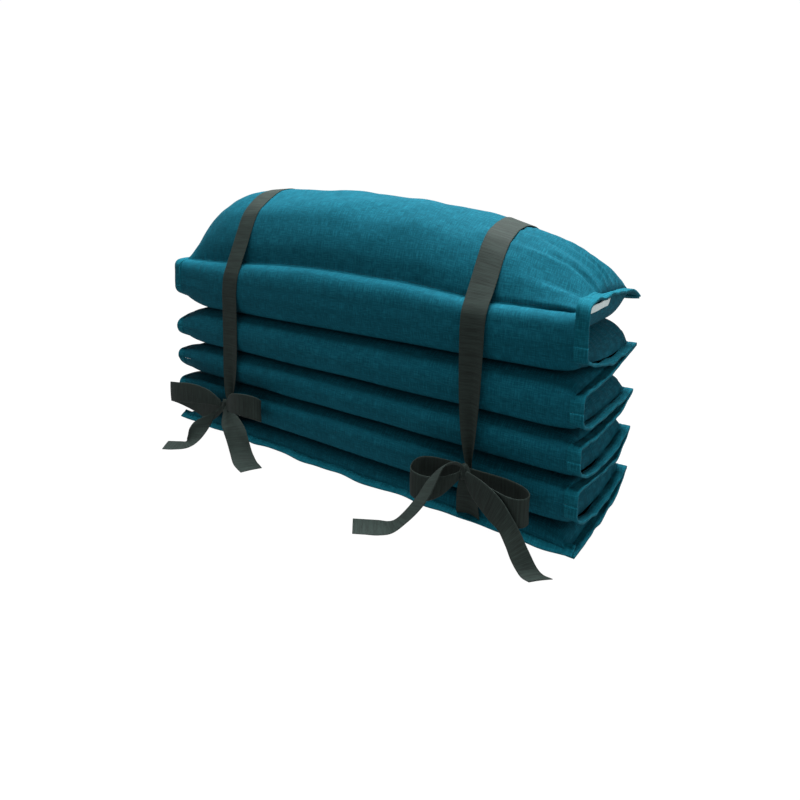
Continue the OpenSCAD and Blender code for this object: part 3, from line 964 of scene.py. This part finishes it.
@dataclass
class Pillow(SewnPad):
    """The thick pad at the head: a high crown behind a rounded lip."""

    lip_high: float = 40 * MM
    crease_y: float = -79 * MM
    crown_high: float = 148 * MM
    left_round: float = 124 * MM
    right_slope: float = 420 * MM
    under_taper: float = 35 * MM
    hem_radius: float = 9 * MM
    lip_points: int = 54
    half_points: int = 150
    rings: int = 241

    @property
    def low(self) -> float:
        """Height of its underside."""
        return LEVELS[-1] + STACK_GAP

    def route(self, sign: float) -> np.ndarray:
        """Up the front of the lip, then back and slightly down to the head end.

        Args:
            sign: -1 for the left end and +1 for the right.

        Returns:
            The route's (y, z) points.
        """
        top = self.low + (41 * MM if sign > 0 else 37 * MM)
        return np.array([(-HEM_EDGE, self.low), (-HEM_EDGE, top), (-0.070, top + 3 * MM),
                         (0.0, top), (0.060, top - 3 * MM), (HEM_EDGE, top - 15 * MM)])

    def halves(self) -> tuple[np.ndarray, np.ndarray, np.ndarray, np.ndarray]:
        """A flat underside, a round lip, a stitched crease, and a crown.

        The far corner is a quarter ellipse; the lip and the crown are smooth curves.

        Returns:
            The under and the upper (y, z) points, then each half's shares of the route.
        """
        edge, low, crease_z = COVER_EDGE, self.low, self.low + self.lip_high - 1.6 * MM
        head = (edge - 1 * MM, self.low + 28 * MM)
        under_far = rounded_corner(head, (0.045, low), 2.0, 60)[::-1]
        under = np.concatenate([np.linspace((-edge, low), under_far[0], 90, endpoint=False),
                                under_far])
        lip = smooth_path(np.array([
            (-edge, low), (-edge, low + 9 * MM), (-edge + 0.3 * MM, low + 18 * MM),
            (-edge + 2 * MM, low + 27 * MM), (-edge + 5.5 * MM, low + 34 * MM),
            (-edge + 10 * MM, low + 37.4 * MM), (-edge + 15 * MM, low + 38.6 * MM),
            (self.crease_y - 1.5 * MM, crease_z + 0.2 * MM), (self.crease_y, crease_z)]),
            self.lip_points * 4)
        crown_z = self.low + self.crown_high
        crown = smooth_path(np.array([
            (self.crease_y, crease_z), (self.crease_y + 1.2 * MM, crease_z + 3.5 * MM),
            (self.crease_y + 1.4 * MM, crease_z + 14 * MM),
            (self.crease_y + 2.4 * MM, crease_z + 34 * MM), (-0.070, crease_z + 60 * MM),
            (-0.058, crease_z + 83 * MM), (-0.033, crown_z - 8 * MM), (0.0, crown_z),
            (0.032, crown_z - 7 * MM), (0.062, crown_z - 29 * MM), (0.083, crown_z - 60 * MM),
            (0.095, crown_z - 92 * MM), head]), 400)
        lip = spaced(lip, self.lip_points)
        # A point close to the seam keeps the shading flat up to it
        lip[1] = lip[0] + 0.12 * (lip[1] - lip[0])
        upper = np.concatenate([lip,
                                spaced(crown, self.half_points - self.lip_points + 1)[1:]])
        u = np.linspace(0, 1, self.half_points)
        mark = self.lip_points / self.half_points
        under_share = np.interp(u, [0, 0.06, 1], [0, 0.2, 1])
        upper_share = np.interp(u, [0, mark, 1], [0, 0.215, 1])
        return under, upper, under_share, upper_share

    def fill(self, x: np.ndarray, under: np.ndarray) -> np.ndarray:
        """Plump at the left end and a long slope at the right; less on the lip.

        Each is a superellipse rise over its own distance from the ends.

        Args:
            x: Each ring's place along the width.
            under: Which points are on the underside.

        Returns:
            The share filled, rings by points.
        """
        left, right = x + COVER_END, COVER_END - x
        crown = swell(left, self.left_round, 2.25) * swell(right, self.right_slope, 1.95)
        lip = swell(np.minimum(left, right), 30 * MM, 2.2)
        flat = swell(np.minimum(left, right), self.under_taper, 2.5)
        # Going round: the underside, then the crown from the head end, then the lip
        lip_start = len(under) - self.lip_points - 2
        on_lip = np.clip((np.arange(len(under)) - lip_start) / 5, 0, 1)
        grid = crown[:, None] * (1 - on_lip)[None] + lip[:, None] * on_lip[None]
        return np.where(under[None], flat[:, None], grid)

    def shaped(self, points: np.ndarray) -> np.ndarray:
        """Long soft lumps, and wrinkles that fan out of the hems into the crown.

        Each is a sine wave or a sum of them, times a fade with the distance from its hem.

        Args:
            points: Rings by points by 3.

        Returns:
            The same array, changed.
        """
        x, y, z = points[..., 0], points[..., 1], points[..., 2]
        # The crease rises left of the middle and dips towards the right end
        rise = 6.5 * np.exp(-(((x + 0.06) / 0.12) ** 2))
        dip = 10 * np.clip((x - 0.09) / 0.11, 0, 1) ** 1.3
        height = (z - self.low) / self.lip_high
        blend = np.clip(height, 0, 1) ** 1.5 * np.clip(1 - (height - 1) / 1.6, 0, 1)
        z = z + (rise - dip) * MM * blend * np.clip((-y - 0.02) / 0.04, 0, 1)
        base = self.low + self.lip_high - 2 * MM
        above = np.clip((z - base) / (20 * MM), 0, 1)
        right, left = COVER_END - x, x + COVER_END
        fan = ripple(y + 0.15 * right, 0, 26 * MM, 11)
        fan = np.sin(TAU * (y + 0.075 * right * np.sign(y)) / (20 * MM) + 1.3 * fan)
        depth = np.exp(-right / (46 * MM)) * swell(right, 16 * MM) * 4.6 * MM
        fan_left = np.sin(TAU * y / (31 * MM) + 1.2 * ripple(y, 0, 40 * MM, 12))
        depth_left = np.exp(-left / (30 * MM)) * swell(left, 14 * MM) * 1.3 * MM
        lump = ripple(x, y * 1.3 + z, 110 * MM, 5) * 1.3 * MM * swell(right, 60 * MM)
        lump = lump + ripple(x, y + z, 38 * MM, 6) * 0.35 * MM
        tuck = np.sin(TAU * x / (23 * MM) + 2.2 * ripple(x, 0, 60 * MM, 13))
        beside = np.exp(-(((z - base) / (16 * MM)) ** 2)) * np.clip((-y - 0.06) / 0.01, 0, 1)
        points[..., 1] = y = y + tuck * beside * 0.5 * MM
        points[..., 2] = z + (fan * depth + fan_left * depth_left + lump) * above
        lip = np.exp(-(((y + HALF_DEPTH) / (14 * MM)) ** 2)) * (1 - above)
        inward = swell(np.minimum(left, right), 40 * MM)
        # The last fold's seed, so that the lip and the pad below it bulge alike
        amount = drawn_in(0.5 + 0.8 * ripple(x, z * 1.2, 90 * MM, 44), z - self.low)
        points[..., 1] = y + lip * inward * amount
        return points


# ---- Ribbons ----

TAPE_WIDTH = 31 * MM
TAPE_THICK = 0.8 * MM


@dataclass
class Route:
    """A ribbon's path: rows of x, y, z, across x, y, z and half width, in millimetres."""

    rows: list
    count: int = 90

    def swept(self) -> tuple[np.ndarray, np.ndarray, np.ndarray]:
        """The smoothed centre, across direction and half width."""
        path = smooth_path(np.array(self.rows, float), self.count)
        return path[:, :3] * MM, path[:, 3:6], path[:, 6] * MM


@dataclass
class Bow:
    """One ribbon round the stack: its band, knot, two loops and two tails."""

    side: str
    top_x: float
    front_x: float
    knot: tuple
    pinch_z: float
    routes: dict = field(default_factory=dict)
    half: float = TAPE_WIDTH / 2

    def hull(self, pads: list, x: float) -> np.ndarray:
        """The convex hull of the stack's section, from its lowest middle point.

        For each direction, the hull's point is the one that reaches furthest.

        Args:
            pads: All nine pads.
            x: Where the section is.

        Returns:
            The hull's (y, z) points, closed and evenly spaced.
        """
        near = np.linspace(x - 2 * MM, x + 2 * MM, 3)
        section = np.concatenate([p.surface(near)[..., 1:].reshape(-1, 2) for p in pads])
        turn = np.linspace(0, TAU, 721)[:-1]
        ways = np.stack([np.cos(turn), np.sin(turn)], axis=1)
        hull = section[np.argmax(section @ ways.T, axis=0)]
        hull = hull[np.linalg.norm(np.diff(hull, axis=0, append=hull[:1]), axis=1) > 0.3 * MM]
        loop = spaced(np.concatenate([hull, hull[:1]]), 2401)[:-1]
        start = int(np.argmin(np.abs(loop[:, 0]) + (loop[:, 1] > 0.05)))
        loop = np.roll(loop, -start, axis=0)
        return spaced(np.concatenate([loop, loop[:1]]), 620)

    def band_path(self, pads: list) -> tuple[np.ndarray, np.ndarray]:
        """The band's two edges, a taut loop round the stack.

        Args:
            pads: All nine pads.

        Returns:
            The (y, z) points of the left and of the right edge.
        """
        edges = []
        for x in (self.top_x - self.half, self.top_x + self.half):
            loop = self.hull(pads, x)
            slope = np.roll(loop, -1, axis=0) - np.roll(loop, 1, axis=0)
            slope /= np.maximum(np.linalg.norm(slope, axis=1), 1e-9)[:, None]
            out = np.stack([slope[:, 1], -slope[:, 0]], axis=1)
            out *= np.sign(((loop - loop.mean(axis=0)) * out).sum(axis=1))[:, None]
            grown = loop + out * 0.75 * MM
            grown = averaged(np.concatenate([grown[-4:-1], grown, grown[1:4]]), 3)
            grown[:, 1] = np.maximum(grown[:, 1], 0.6 * MM)
            edges.append(grown)
        return edges[0], edges[1]

    def build_band(self, pads: list) -> None:
        """The band: flat round the stack, folded into a V where the knot gathers it.

        Args:
            pads: All nine pads.
        """
        left, right = self.band_path(pads)
        y, z = ((left + right) / 2).T
        front = np.clip((-y - 0.07) / 0.02, 0, 1) * np.clip((0.30 - z) / 0.06, 0, 1)
        drift = self.top_x + (self.front_x - self.top_x) * np.clip((0.36 - z) / 0.14, 0, 1)
        x = np.where(y < 0.03, drift, self.top_x)
        knot_x, _, knot_z = self.knot
        near = np.exp(-np.maximum(z - knot_z, 0) / (self.pinch_z - knot_z))
        near = np.where(z < knot_z, np.exp(-(knot_z - z) / 0.022), near) * front
        x = x + (knot_x - x) * near
        half = self.half * (1 - 0.84 * near)
        crease = np.sqrt(np.maximum(self.half**2 - half**2, 0)) * 0.55 * front
        centre = np.stack([x, y, z], axis=1)
        centre[:, 1] -= 0.2 * MM * front
        lean = (right - left) * (1 - front)[:, None]
        across = np.concatenate([np.full((len(centre), 1), 2 * self.half), lean], axis=1)
        # The band's face is the side that looks away from the stack
        middle = len(centre) // 2
        facing = np.cross(np.gradient(centre, axis=0), across)[middle]
        if facing @ (centre[middle] - centre.mean(axis=0)) < 0:
            across = -across
        piece = strip(f"{self.side}_band", centre, across, half, TAPE_THICK, crease=crease)
        self.finish(piece, f"{self.side}_ribbon_band")

    def build_part(self, part: str) -> None:
        """A loop or a tail from its route.

        Args:
            part: The route's key, which ends the piece's name.
        """
        centre, across, half = Route(self.routes[part]).swept()
        piece = strip(f"{self.side}_{part}", centre, across, half, TAPE_THICK, curl=0.5 * MM)
        self.finish(piece, f"{self.side}_bow_{part}")

    def build_knot(self) -> None:
        """A small wrapped knot: a lumpy ball with turns of ribbon drawn into it.

        Its radius is an ellipsoid's, times one plus two sine waves: the wraps.
        """
        lat = np.linspace(0.04, math.pi - 0.04, 40)
        lon = np.arange(56) / 56 * TAU
        la, lo = np.meshgrid(lat, lon, indexing="ij")
        wraps = 1 + 0.16 * np.cos(3 * la + 1.2 * np.sin(lo)) + 0.08 * np.sin(5 * lo + 2 * la)
        size = np.array([6.0, 6.0, 8.0]) * MM
        points = np.stack([np.sin(la) * np.cos(lo) * size[0], np.sin(la) * np.sin(lo) * size[1],
                           np.cos(la) * size[2]], axis=-1) * wraps[..., None]
        points += np.array(self.knot)
        piece = shell(f"{self.side}_knot", points)
        self.finish(piece, f"{self.side}_bow_knot")

    def finish(self, piece: bpy.types.Object, node: str) -> None:
        """Dresses a ribbon piece on the lowest pad's body and gives it a mesh of its own."""
        dress(piece, Finish.RIBBON, "panel_1", node)
        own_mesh(piece)

    def build(self, pads: list) -> None:
        """Builds the whole ribbon.

        Args:
            pads: All nine pads.
        """
        self.build_knot()
        self.build_band(pads)
        for kind, held in (("loop", "folded"), ("tail", "laid")):
            self.build_part(f"outer_{kind}")
            self.build_part(f"inner_{kind}")


# Each row is a Route's: a place and a direction across, then half the width there
RIGHT_ROUTES = {
    "inner_loop": [
        (206, -111, 70, 0, 0, 1, 5), (190, -108, 65, 0, -0.1, 1, 11),
        (165, -107, 58, 0, 0, 1, 15.5), (149, -110, 55, 0, 0, 1, 15.5),
        (144, -119, 51, 0, 0, 1, 15.5), (149, -129, 47, 0, 0, 1, 15.5),
        (166, -132, 46, 0.05, 0, 1, 15.5), (187, -128, 53, 0.1, 0, 1, 12),
        (204, -118, 67, 0.1, 0, 1, 5)],
    "outer_loop": [
        (211, -111, 70, 0, 0, 1, 5), (230, -108, 62, 0, 0, 1, 12), (255, -107, 58, 0, 0, 1, 15.5),
        (274, -110, 56.5, 0, 0, 1, 15.5), (284, -119, 55, 0, 0, 1, 15.5),
        (281, -130, 54, 0, 0, 1, 15.5), (268, -134, 54, 0, 0, 1, 15.5),
        (246, -131, 57, 0, 0, 1, 14.5), (227, -123, 62, 0, 0, 1, 9), (212, -117, 69, 0, 0, 1, 5)],
    "inner_tail": [
        (209, -120, 74, 0.3, -0.5, 0.8, 5), (211, -127, 83, 0.4, -0.7, 0.6, 8),
        (203, -132, 86, 0.45, -0.7, 0.5, 11), (192, -137, 79, 0.6, -0.6, 0.5, 13),
        (184, -142, 64, 0.75, -0.45, 0.45, 14), (177, -147, 47, 0.8, -0.4, 0.4, 14),
        (167, -152, 30, 0.8, -0.4, 0.35, 14), (154, -155, 14, 0.75, -0.5, 0.3, 14.5),
        (142, -158, 4, 0.65, -0.7, 0.1, 15), (129, -163, 1.2, 0.6, -0.8, 0, 15.5),
        (116, -170, 0.9, 0.6, -0.8, 0, 15.5), (104, -177, 0.9, 0.62, -0.78, 0, 15.5)],
    "outer_tail": [
        (212, -120, 70, 0.2, 0, 1, 5), (224, -126, 65, 0.25, -0.1, 1, 12),
        (238, -131, 60, 0.3, -0.1, 1, 15.5), (254, -135, 52, 0.4, -0.05, 0.9, 15.5),
        (267, -138, 43, 0.5, 0.1, 0.8, 11.5), (277, -140, 31, 0.5, 0.4, 0.6, 10),
        (285, -141, 18, 0.6, 0.6, 0.4, 10), (293, -141, 6, 0.65, 0.75, 0.1, 10.5),
        (300, -142, 1.2, 0.65, 0.75, 0, 11.5), (309, -143, 0.9, 0.68, 0.73, 0, 12.5)],
}

LEFT_ROUTES = {
    "outer_loop": [
        (-194, -112, 56, 0, 0, 1, 5), (-212, -112, 46, 0, 0, 1, 12),
        (-236, -110, 38, 0, 0, 1, 15.5), (-268, -108, 43, 0, 0, 1, 15.5),
        (-297, -110, 48, 0, 0, 1, 15.5), (-307, -118, 54, 0, 0, 1, 15.5),
        (-302, -128, 60, 0, 0, 1, 15.5), (-276, -132, 65, 0, 0, 1, 15.5),
        (-243, -130, 69, 0, 0, 1, 15), (-214, -124, 68, 0, 0, 1, 11), (-196, -117, 60, 0, 0, 1, 5)],
    "inner_loop": [
        (-186, -112, 57, 0, 0, 1, 5), (-166, -109, 58, 0, 0, 1, 12),
        (-142, -107, 61, 0, 0, 1, 15.5), (-119, -110, 63, 0, 0, 1, 15.5),
        (-109, -120, 70, 0, 0, 1, 16), (-113, -131, 77, 0, 0, 1, 16),
        (-131, -136, 78, 0, 0, 1, 15.5), (-155, -131, 73, 0, 0, 1, 14),
        (-174, -122, 65, 0, 0, 1, 9), (-187, -116, 59, 0, 0, 1, 5)],
    "outer_tail": [
        (-195, -118, 53, 0.6, 0.4, 0.7, 5), (-206, -125, 47, 0.65, 0.5, 0.5, 10),
        (-214, -132, 37, 0.75, 0.6, 0.2, 14), (-219, -139, 24, 0.8, 0.6, 0, 14),
        (-222, -147, 10, 0.95, 0.2, 0, 12), (-227, -155, 1.8, 0.85, -0.5, 0, 12.5),
        (-238, -165, 0.9, 0.58, -0.8, 0, 14.5), (-252, -174, 0.9, 0.63, -0.77, 0, 14.5)],
    "inner_tail": [
        (-187, -118, 54, 0.4, 0.3, 0.9, 5), (-171, -125, 48, 0.6, 0.45, 0.5, 11),
        (-152, -131, 38, 0.8, 0.57, 0.15, 15.5), (-139, -135, 24, 0.82, 0.57, 0.1, 15.5),
        (-127, -139, 10, 0.8, 0.58, 0.05, 15.5), (-114, -144, 1.8, 0.6, 0.75, 0, 15.5),
        (-101, -149, 0.9, 0.45, 0.88, 0, 15), (-90, -153, 0.9, 0.42, 0.9, 0, 14.5)],
}


# ---- Trims ----

# A stitch's length, the gap after it and the thread's radius
SEAM_STITCH = (3.2 * MM, 0.9 * MM, 0.25 * MM)
CREASE_STITCH = (3.4 * MM, 0.9 * MM, 0.3 * MM)
# How far a seam's row is sunk into its fold. The last one is drawn in further, so that
# the lip and the pad below it look like one roll.
SUNK = 0.15 * MM
LAST_SUNK = 1.2 * MM


@dataclass
class Trims:
    """End hems, seams, the crease's stitching and the blank label."""

    pads: list
    pillow: Pillow

    def build(self) -> None:
        """Builds every trim."""
        self.foot_hem()
        self.head_hem()
        self.fold_seams()
        self.crease_stitch()
        self.care_label()

    def end_hem(self, name: str, inner: tuple, outer: tuple, seed: int) -> bpy.types.Object:
        """A flat hem across an end of the mattress.

        Args:
            name: The piece's name.
            inner: The (y, z) of the edge that's sewn to the pad.
            outer: The (y, z) of the free edge.
            seed: Chooses its waves.

        Returns:
            The new object.
        """
        x = np.linspace(-HALF_WIDTH + 2 * MM, HALF_WIDTH - 2 * MM, 220)
        inner_yz, outer_yz = np.array(inner), np.array(outer)
        middle = (inner_yz + outer_yz) / 2
        wave = ripple(x, 0, 70 * MM, seed)[:, None] * np.array([0.5, 0.9]) * MM
        centre = np.concatenate([x[:, None], middle + wave], axis=1)
        width = np.linalg.norm(outer_yz - inner_yz)
        across = np.tile(np.array([0.0, *(outer_yz - inner_yz)]) / width, (len(x), 1))
        across[:, 2] += 0.10 * ripple(x, 2, 50 * MM, seed + 1)
        half = np.full(len(x), width / 2)
        return strip(name, centre, across, half, HEM_THICK * 0.85, groove=0.9 * MM)

    def foot_hem(self) -> None:
        """The free end hem along the front of the lowest pad, leaning to the floor."""
        piece = self.end_hem("foot_end_hem", (-0.0880, 0.0135), (-0.0985, 0.0055), 21)
        dress(piece, Finish.HEM, "panel_1", "foot_hem")

    def head_hem(self) -> None:
        """The free end hem along the back of the pillow."""
        low = self.pillow.low
        piece = self.end_hem("head_end_hem", (0.087, low + 0.028), (0.0985, low + 0.024), 22)
        dress(piece, Finish.HEM, "pillow", "pillow_head_hem")

    def fold_seams(self) -> None:
        """A stitched row along each fold line."""
        x = np.linspace(-HALF_WIDTH + 6 * MM, HALF_WIDTH - 6 * MM, 300)
        for number, (joint, pad) in enumerate(zip(frame["joints"], self.pads), start=1):
            _, y, z = joint["pos_m"]
            rings = pad.surface(x)
            # The row lies along the pad's edge: far out, and close to the fold's height
            score = np.abs(rings[..., 1]) - 4 * np.abs(rings[..., 2] - z)
            edge = rings[np.arange(len(x)), np.argmax(score, axis=1)]
            sunk = LAST_SUNK if number == len(self.pads) else SUNK
            path = np.stack([x, edge[:, 1] - math.copysign(sunk, y), np.full(len(x), z)], axis=1)
            piece = stitches(f"fold_{number}_stitching", path, *SEAM_STITCH)
            dress(piece, Finish.THREAD, f"panel_{number}", f"fold_seam_{number}")

    def crease_stitch(self) -> None:
        """The stitched line that parts the crown from the lip."""
        x = np.linspace(-COVER_END + 20 * MM, COVER_END - 16 * MM, 300)
        rings = self.pillow.surface(x)
        crease = rings[:, -self.pillow.lip_points]
        piece = stitches("crease_stitching", crease, *CREASE_STITCH)
        dress(piece, Finish.THREAD, "pillow", "pillow_crease_cord")

    def care_label(self) -> None:
        """The blank tape that hangs under the pillow's right hem."""
        low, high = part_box("care_label")
        share = np.linspace(0, 1, 40)
        y = low[1] + (high[1] - low[1]) * share
        drop = np.interp(share, [0, 1], [high[2] - 5 * MM, low[2] + 10 * MM])
        x = HALF_WIDTH - 8 * MM + MM * np.sin(share * 5)
        centre = np.stack([x, y, drop], axis=1)
        across = np.tile([0.25, 0.05, 1.0], (len(y), 1))
        half = np.full(len(y), 4.5 * MM)
        piece = strip("blank_label", centre, across, half, 0.5 * MM, curl=0.4 * MM)
        dress(piece, Finish.LABEL, "pillow", "care_label")


# ---- Studio ----


@dataclass(frozen=True)
class Lamp:
    """A square soft lamp: its place, what it faces, its side in metres, its power in watts."""

    name: str
    place: tuple
    aim: tuple
    size: float
    power: float

    def build(self) -> None:
        """Hangs the lamp, turned so that it faces its aim."""
        data = bpy.data.lights.new(self.name, "AREA")
        data.shape, data.size, data.energy = "SQUARE", self.size, self.power
        back = np.array(self.place) - np.array(self.aim)
        back = back / np.linalg.norm(back)
        side = np.cross([0.0, 1.0, 0.0], back)
        side /= np.linalg.norm(side)
        turn = Matrix(np.stack([side, np.cross(back, side), back], axis=1).tolist())
        linked(self.name, data).matrix_world = Matrix.Translation(self.place) @ turn.to_4x4()


@dataclass(frozen=True)
class Studio:
    """A white floor with a round white wall, two soft lamps, and the camera."""

    eye: tuple = (0.491, -0.642, 0.358)
    yaw: float = -35.31
    pitch: float = 9.08
    roll: float = 0.81
    lens: float = 26.514
    shift: tuple = (0.0022, -0.1326)
    floor_half: float = 30.0
    wall_radius: float = 5.0
    wall_high: float = 2.8
    # The wall is low where it faces the mattress's front, so as to leave the front dark
    wall_low: float = 0.95
    high_between: tuple = (45, 205)
    world_light: float = 0.10
    lamps: tuple = (Lamp("overhead", (0.05, 0.2, 2.2), (0, 0, 0.2), 1.3, 255),
                    Lamp("side", (1.6, -0.2, 0.9), (0.2, 0, 0.2), 0.8, 9))

    def camera(self) -> None:
        """The camera, at the height of the pillow's top, with its lens shifted down."""
        yaw, pitch, roll = (math.radians(a) for a in (self.yaw, self.pitch, self.roll))
        ahead = np.array([math.sin(yaw) * math.cos(pitch), math.cos(yaw) * math.cos(pitch),
                          -math.sin(pitch)])
        right = np.cross(ahead, [0, 0, 1])
        right /= np.linalg.norm(right)
        up = np.cross(right, ahead)
        x_axis = right * math.cos(roll) + up * math.sin(roll)
        y_axis = up * math.cos(roll) - right * math.sin(roll)
        data = bpy.data.cameras.new("camera")
        data.lens, data.sensor_width = self.lens, 36
        data.shift_x, data.shift_y = self.shift
        data.clip_start = 0.01
        camera = linked("camera", data)
        turn = Matrix(np.stack([x_axis, y_axis, -ahead], axis=1).tolist())
        camera.matrix_world = Matrix.Translation(self.eye) @ turn.to_4x4()
        bpy.context.scene.camera = camera

    def paper(self) -> bpy.types.Material:
        """Matt paper that shows white whatever light falls on it.

        Returns:
            The new material.
        """
        made = bpy.data.materials.new("pale_paper")
        made.use_nodes = True
        surface = made.node_tree.nodes["Principled BSDF"]
        for key, value in {"Base Color": linear("#202020"), "Roughness": 0.95,
                           "Specular IOR Level": 0.0, "Emission Color": (1, 1, 1, 1),
                           "Emission Strength": 1.0}.items():
            surface.inputs[key].default_value = value
        return made

    def sheet_of(self, name: str, corners: list, faces: list, paper: bpy.types.Material) -> None:
        """Stages one paper surface, from its corners and the faces between them.

        Args:
            name: The surface's name.
            corners: Its corners' places.
            faces: The corners of each face, by number.
            paper: Its material.
        """
        mesh = bpy.data.meshes.new(name)
        mesh.from_pydata(corners, [], faces)
        mesh.materials.append(paper)
        linked(name, mesh)

    def room(self) -> None:
        """A wide level floor, and a round wall that is high behind and low in front."""
        paper, far = self.paper(), self.floor_half
        corners = [(-far, -far, 0), (far, -far, 0), (far, far, 0), (-far, far, 0)]
        self.sheet_of("floor", corners, [(0, 1, 2, 3)], paper)
        degrees = np.linspace(0, 360, 97)
        turn = np.radians(degrees)
        start, end = self.high_between
        height = np.where((degrees > start) & (degrees < end), self.wall_high, self.wall_low)
        rim = np.stack([np.cos(turn), np.sin(turn), np.zeros_like(turn)], axis=1)
        rim = self.wall_radius * rim
        rows = np.concatenate([rim, rim + np.outer(height, [0, 0, 1])])
        n = len(rim)
        faces = [(i, i + 1, n + i + 1, n + i) for i in range(n - 1)]
        self.sheet_of("backdrop", rows.tolist(), faces, paper)

    def build(self) -> None:
        """Sets the camera, the room and the lamps up."""
        self.camera()
        self.room()
        for lamp in self.lamps:
            lamp.build()
        world = bpy.data.worlds.new("room")
        world.use_nodes = True
        background = world.node_tree.nodes["Background"]
        background.inputs["Color"].default_value = (1, 1, 1, 1)
        background.inputs["Strength"].default_value = self.world_light
        bpy.context.scene.world = world
        bpy.context.scene.view_settings.view_transform = "Standard"


def main() -> None:
    """Builds the room, the pads, their trims and the two ribbons, in that order."""
    logging.basicConfig(level=logging.INFO, format="%(message)s")
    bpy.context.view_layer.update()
    Studio().build()
    pads = [FlatPad(f"panel_{i}", index=i) for i in range(1, 9)]
    for pad in pads:
        pad.build_cover(f"{pad.body}_cover", f"{pad.body}_filling")
        pad.build_hems(f"{pad.body}_side_hems", 30 * pad.index)
    pillow = Pillow("pillow")
    pillow.build_cover("pillow_cover", "pillow_filling")
    pillow.build_hems("pillow_side_hems", 300)
    Trims(pads, pillow).build()
    everything = pads + [pillow]
    Bow("left", top_x=-0.180, front_x=-0.193, knot=(-0.190, -0.113, 0.058), pinch_z=0.079,
        routes=LEFT_ROUTES).build(everything)
    Bow("right", top_x=0.206, front_x=0.203, knot=(0.208, -0.114, 0.071), pinch_z=0.124,
        routes=RIGHT_ROUTES).build(everything)


if __name__ == "__main__":
    main()
